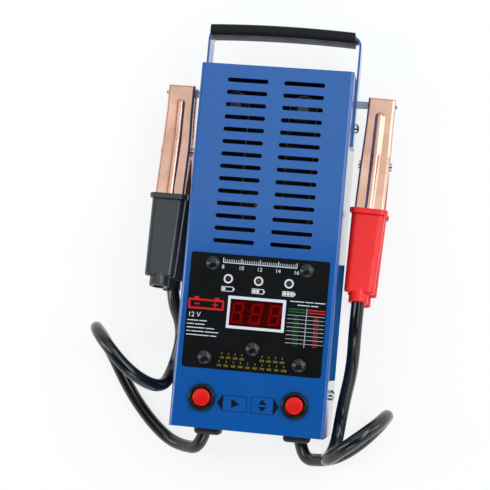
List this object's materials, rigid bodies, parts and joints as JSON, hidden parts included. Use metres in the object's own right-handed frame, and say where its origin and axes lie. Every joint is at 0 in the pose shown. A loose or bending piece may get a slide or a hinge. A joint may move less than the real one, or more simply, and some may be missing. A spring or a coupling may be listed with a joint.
{
  "type": "battery load tester",
  "caption": "Hand-held battery load tester: slotted blue steel housing with carry handle, display label, push buttons and sprung copper lead clamps hung on side tabs.",
  "frame": {"origin": "centre of the housing's flat back face, on which the tester lies", "axes": "+Z out of the front panel, +Y from the cable end to the carry handle, +X to the right of the front panel"},
  "size_m": [0.2185, 0.3045, 0.0807],
  "materials": {
    "blue_paint": "gloss",
    "grip_black": "satin",
    "zinc": "zinc plated",
    "screw_steel": "bright",
    "label_black": "satin",
    "red_window": "tinted",
    "board_green": "matte",
    "display_case": "matte",
    "rivet_black": "gloss",
    "spacer_nylon": "matte",
    "lens_red": "tinted",
    "lens_amber": "tinted",
    "lens_green": "tinted",
    "bezel_black": "gloss",
    "cap_red": "gloss",
    "nut_steel": "plain",
    "spring_steel": "plain",
    "resistor_alloy": "heat browned",
    "ceramic_brown": "matte",
    "frame_steel": "plain",
    "relay_black": "matte",
    "bar_copper": "plain",
    "gland_black": "matte",
    "cable_black_pvc": "satin",
    "jaw_copper": "copper plated",
    "sleeve_black_pvc": "satin",
    "sleeve_red_pvc": "satin"
  },
  "bodies": {
    "tester": {"front_cover": "blue_paint", "rear_cover": "blue_paint", "handle_strap": "blue_paint", "handle_grip": "grip_black", "clamp_rest_right": "zinc", "clamp_rest_left": "zinc", "side_screws": "screw_steel", "side_nuts": "nut_steel", "front_label": "label_black", "display_window": "red_window", "display_module": "display_case", "circuit_board": "board_green", "label_rivets": "rivet_black", "board_spacers": "spacer_nylon", "led_red": "lens_red", "led_amber": "lens_amber", "led_green": "lens_green", "load_resistor": "resistor_alloy", "resistor_insulators": "ceramic_brown", "resistor_bolts": "nut_steel", "resistor_frame": "frame_steel", "load_relay": "relay_black", "bus_bar_negative": "bar_copper", "bus_bar_positive": "bar_copper", "relay_link": "bar_copper", "cable_lugs": "bar_copper", "lug_bolts": "nut_steel", "gland_left": "gland_black", "gland_right": "gland_black", "cable_black": "cable_black_pvc", "cable_red": "cable_black_pvc", "test_button_body": "bezel_black", "test_button_nut": "nut_steel", "test_button_spring": "spring_steel", "set_button_body": "bezel_black", "set_button_nut": "nut_steel", "set_button_spring": "spring_steel", "red_jaw_cable": "jaw_copper", "red_pivot": "screw_steel", "red_clamp_spring": "spring_steel", "red_sleeve_cable": "sleeve_red_pvc", "black_jaw_cable": "jaw_copper", "black_pivot": "screw_steel", "black_clamp_spring": "spring_steel", "black_sleeve_cable": "sleeve_black_pvc"},
    "test_button": {"test_button_cap": "cap_red"},
    "set_button": {"set_button_cap": "cap_red"},
    "red_grip": {"red_jaw_free": "jaw_copper", "red_sleeve_free": "sleeve_red_pvc"},
    "black_grip": {"black_jaw_free": "jaw_copper", "black_sleeve_free": "sleeve_black_pvc"}
  },
  "joints": [
    {"name": "test_button_press", "type": "slide", "parent": "tester", "child": "test_button", "axis": [0, 0, -1], "range_m": [0, 0.0025], "stiffness_N_per_m": 800, "springref_m": -0.0006, "deforming": ["test_button_spring"]},
    {"name": "set_button_press", "type": "slide", "parent": "tester", "child": "set_button", "axis": [0, 0, -1], "range_m": [0, 0.0025], "stiffness_N_per_m": 800, "springref_m": -0.0006, "deforming": ["set_button_spring"]},
    {"name": "red_clamp_squeeze", "type": "hinge", "parent": "tester", "child": "red_grip", "pos_m": [0.07, 0.0665, 0.038], "axis": [-0.9996, 0.0297, 0], "range_deg": [0, 20], "stiffness_Nm_per_rad": 3, "springref_deg": -20.05},
    {"name": "black_clamp_squeeze", "type": "hinge", "parent": "tester", "child": "black_grip", "pos_m": [-0.0702, 0.0665, 0.038], "axis": [1, 0, 0], "range_deg": [0, 20], "stiffness_Nm_per_rad": 3, "springref_deg": -20.05}
  ]
}
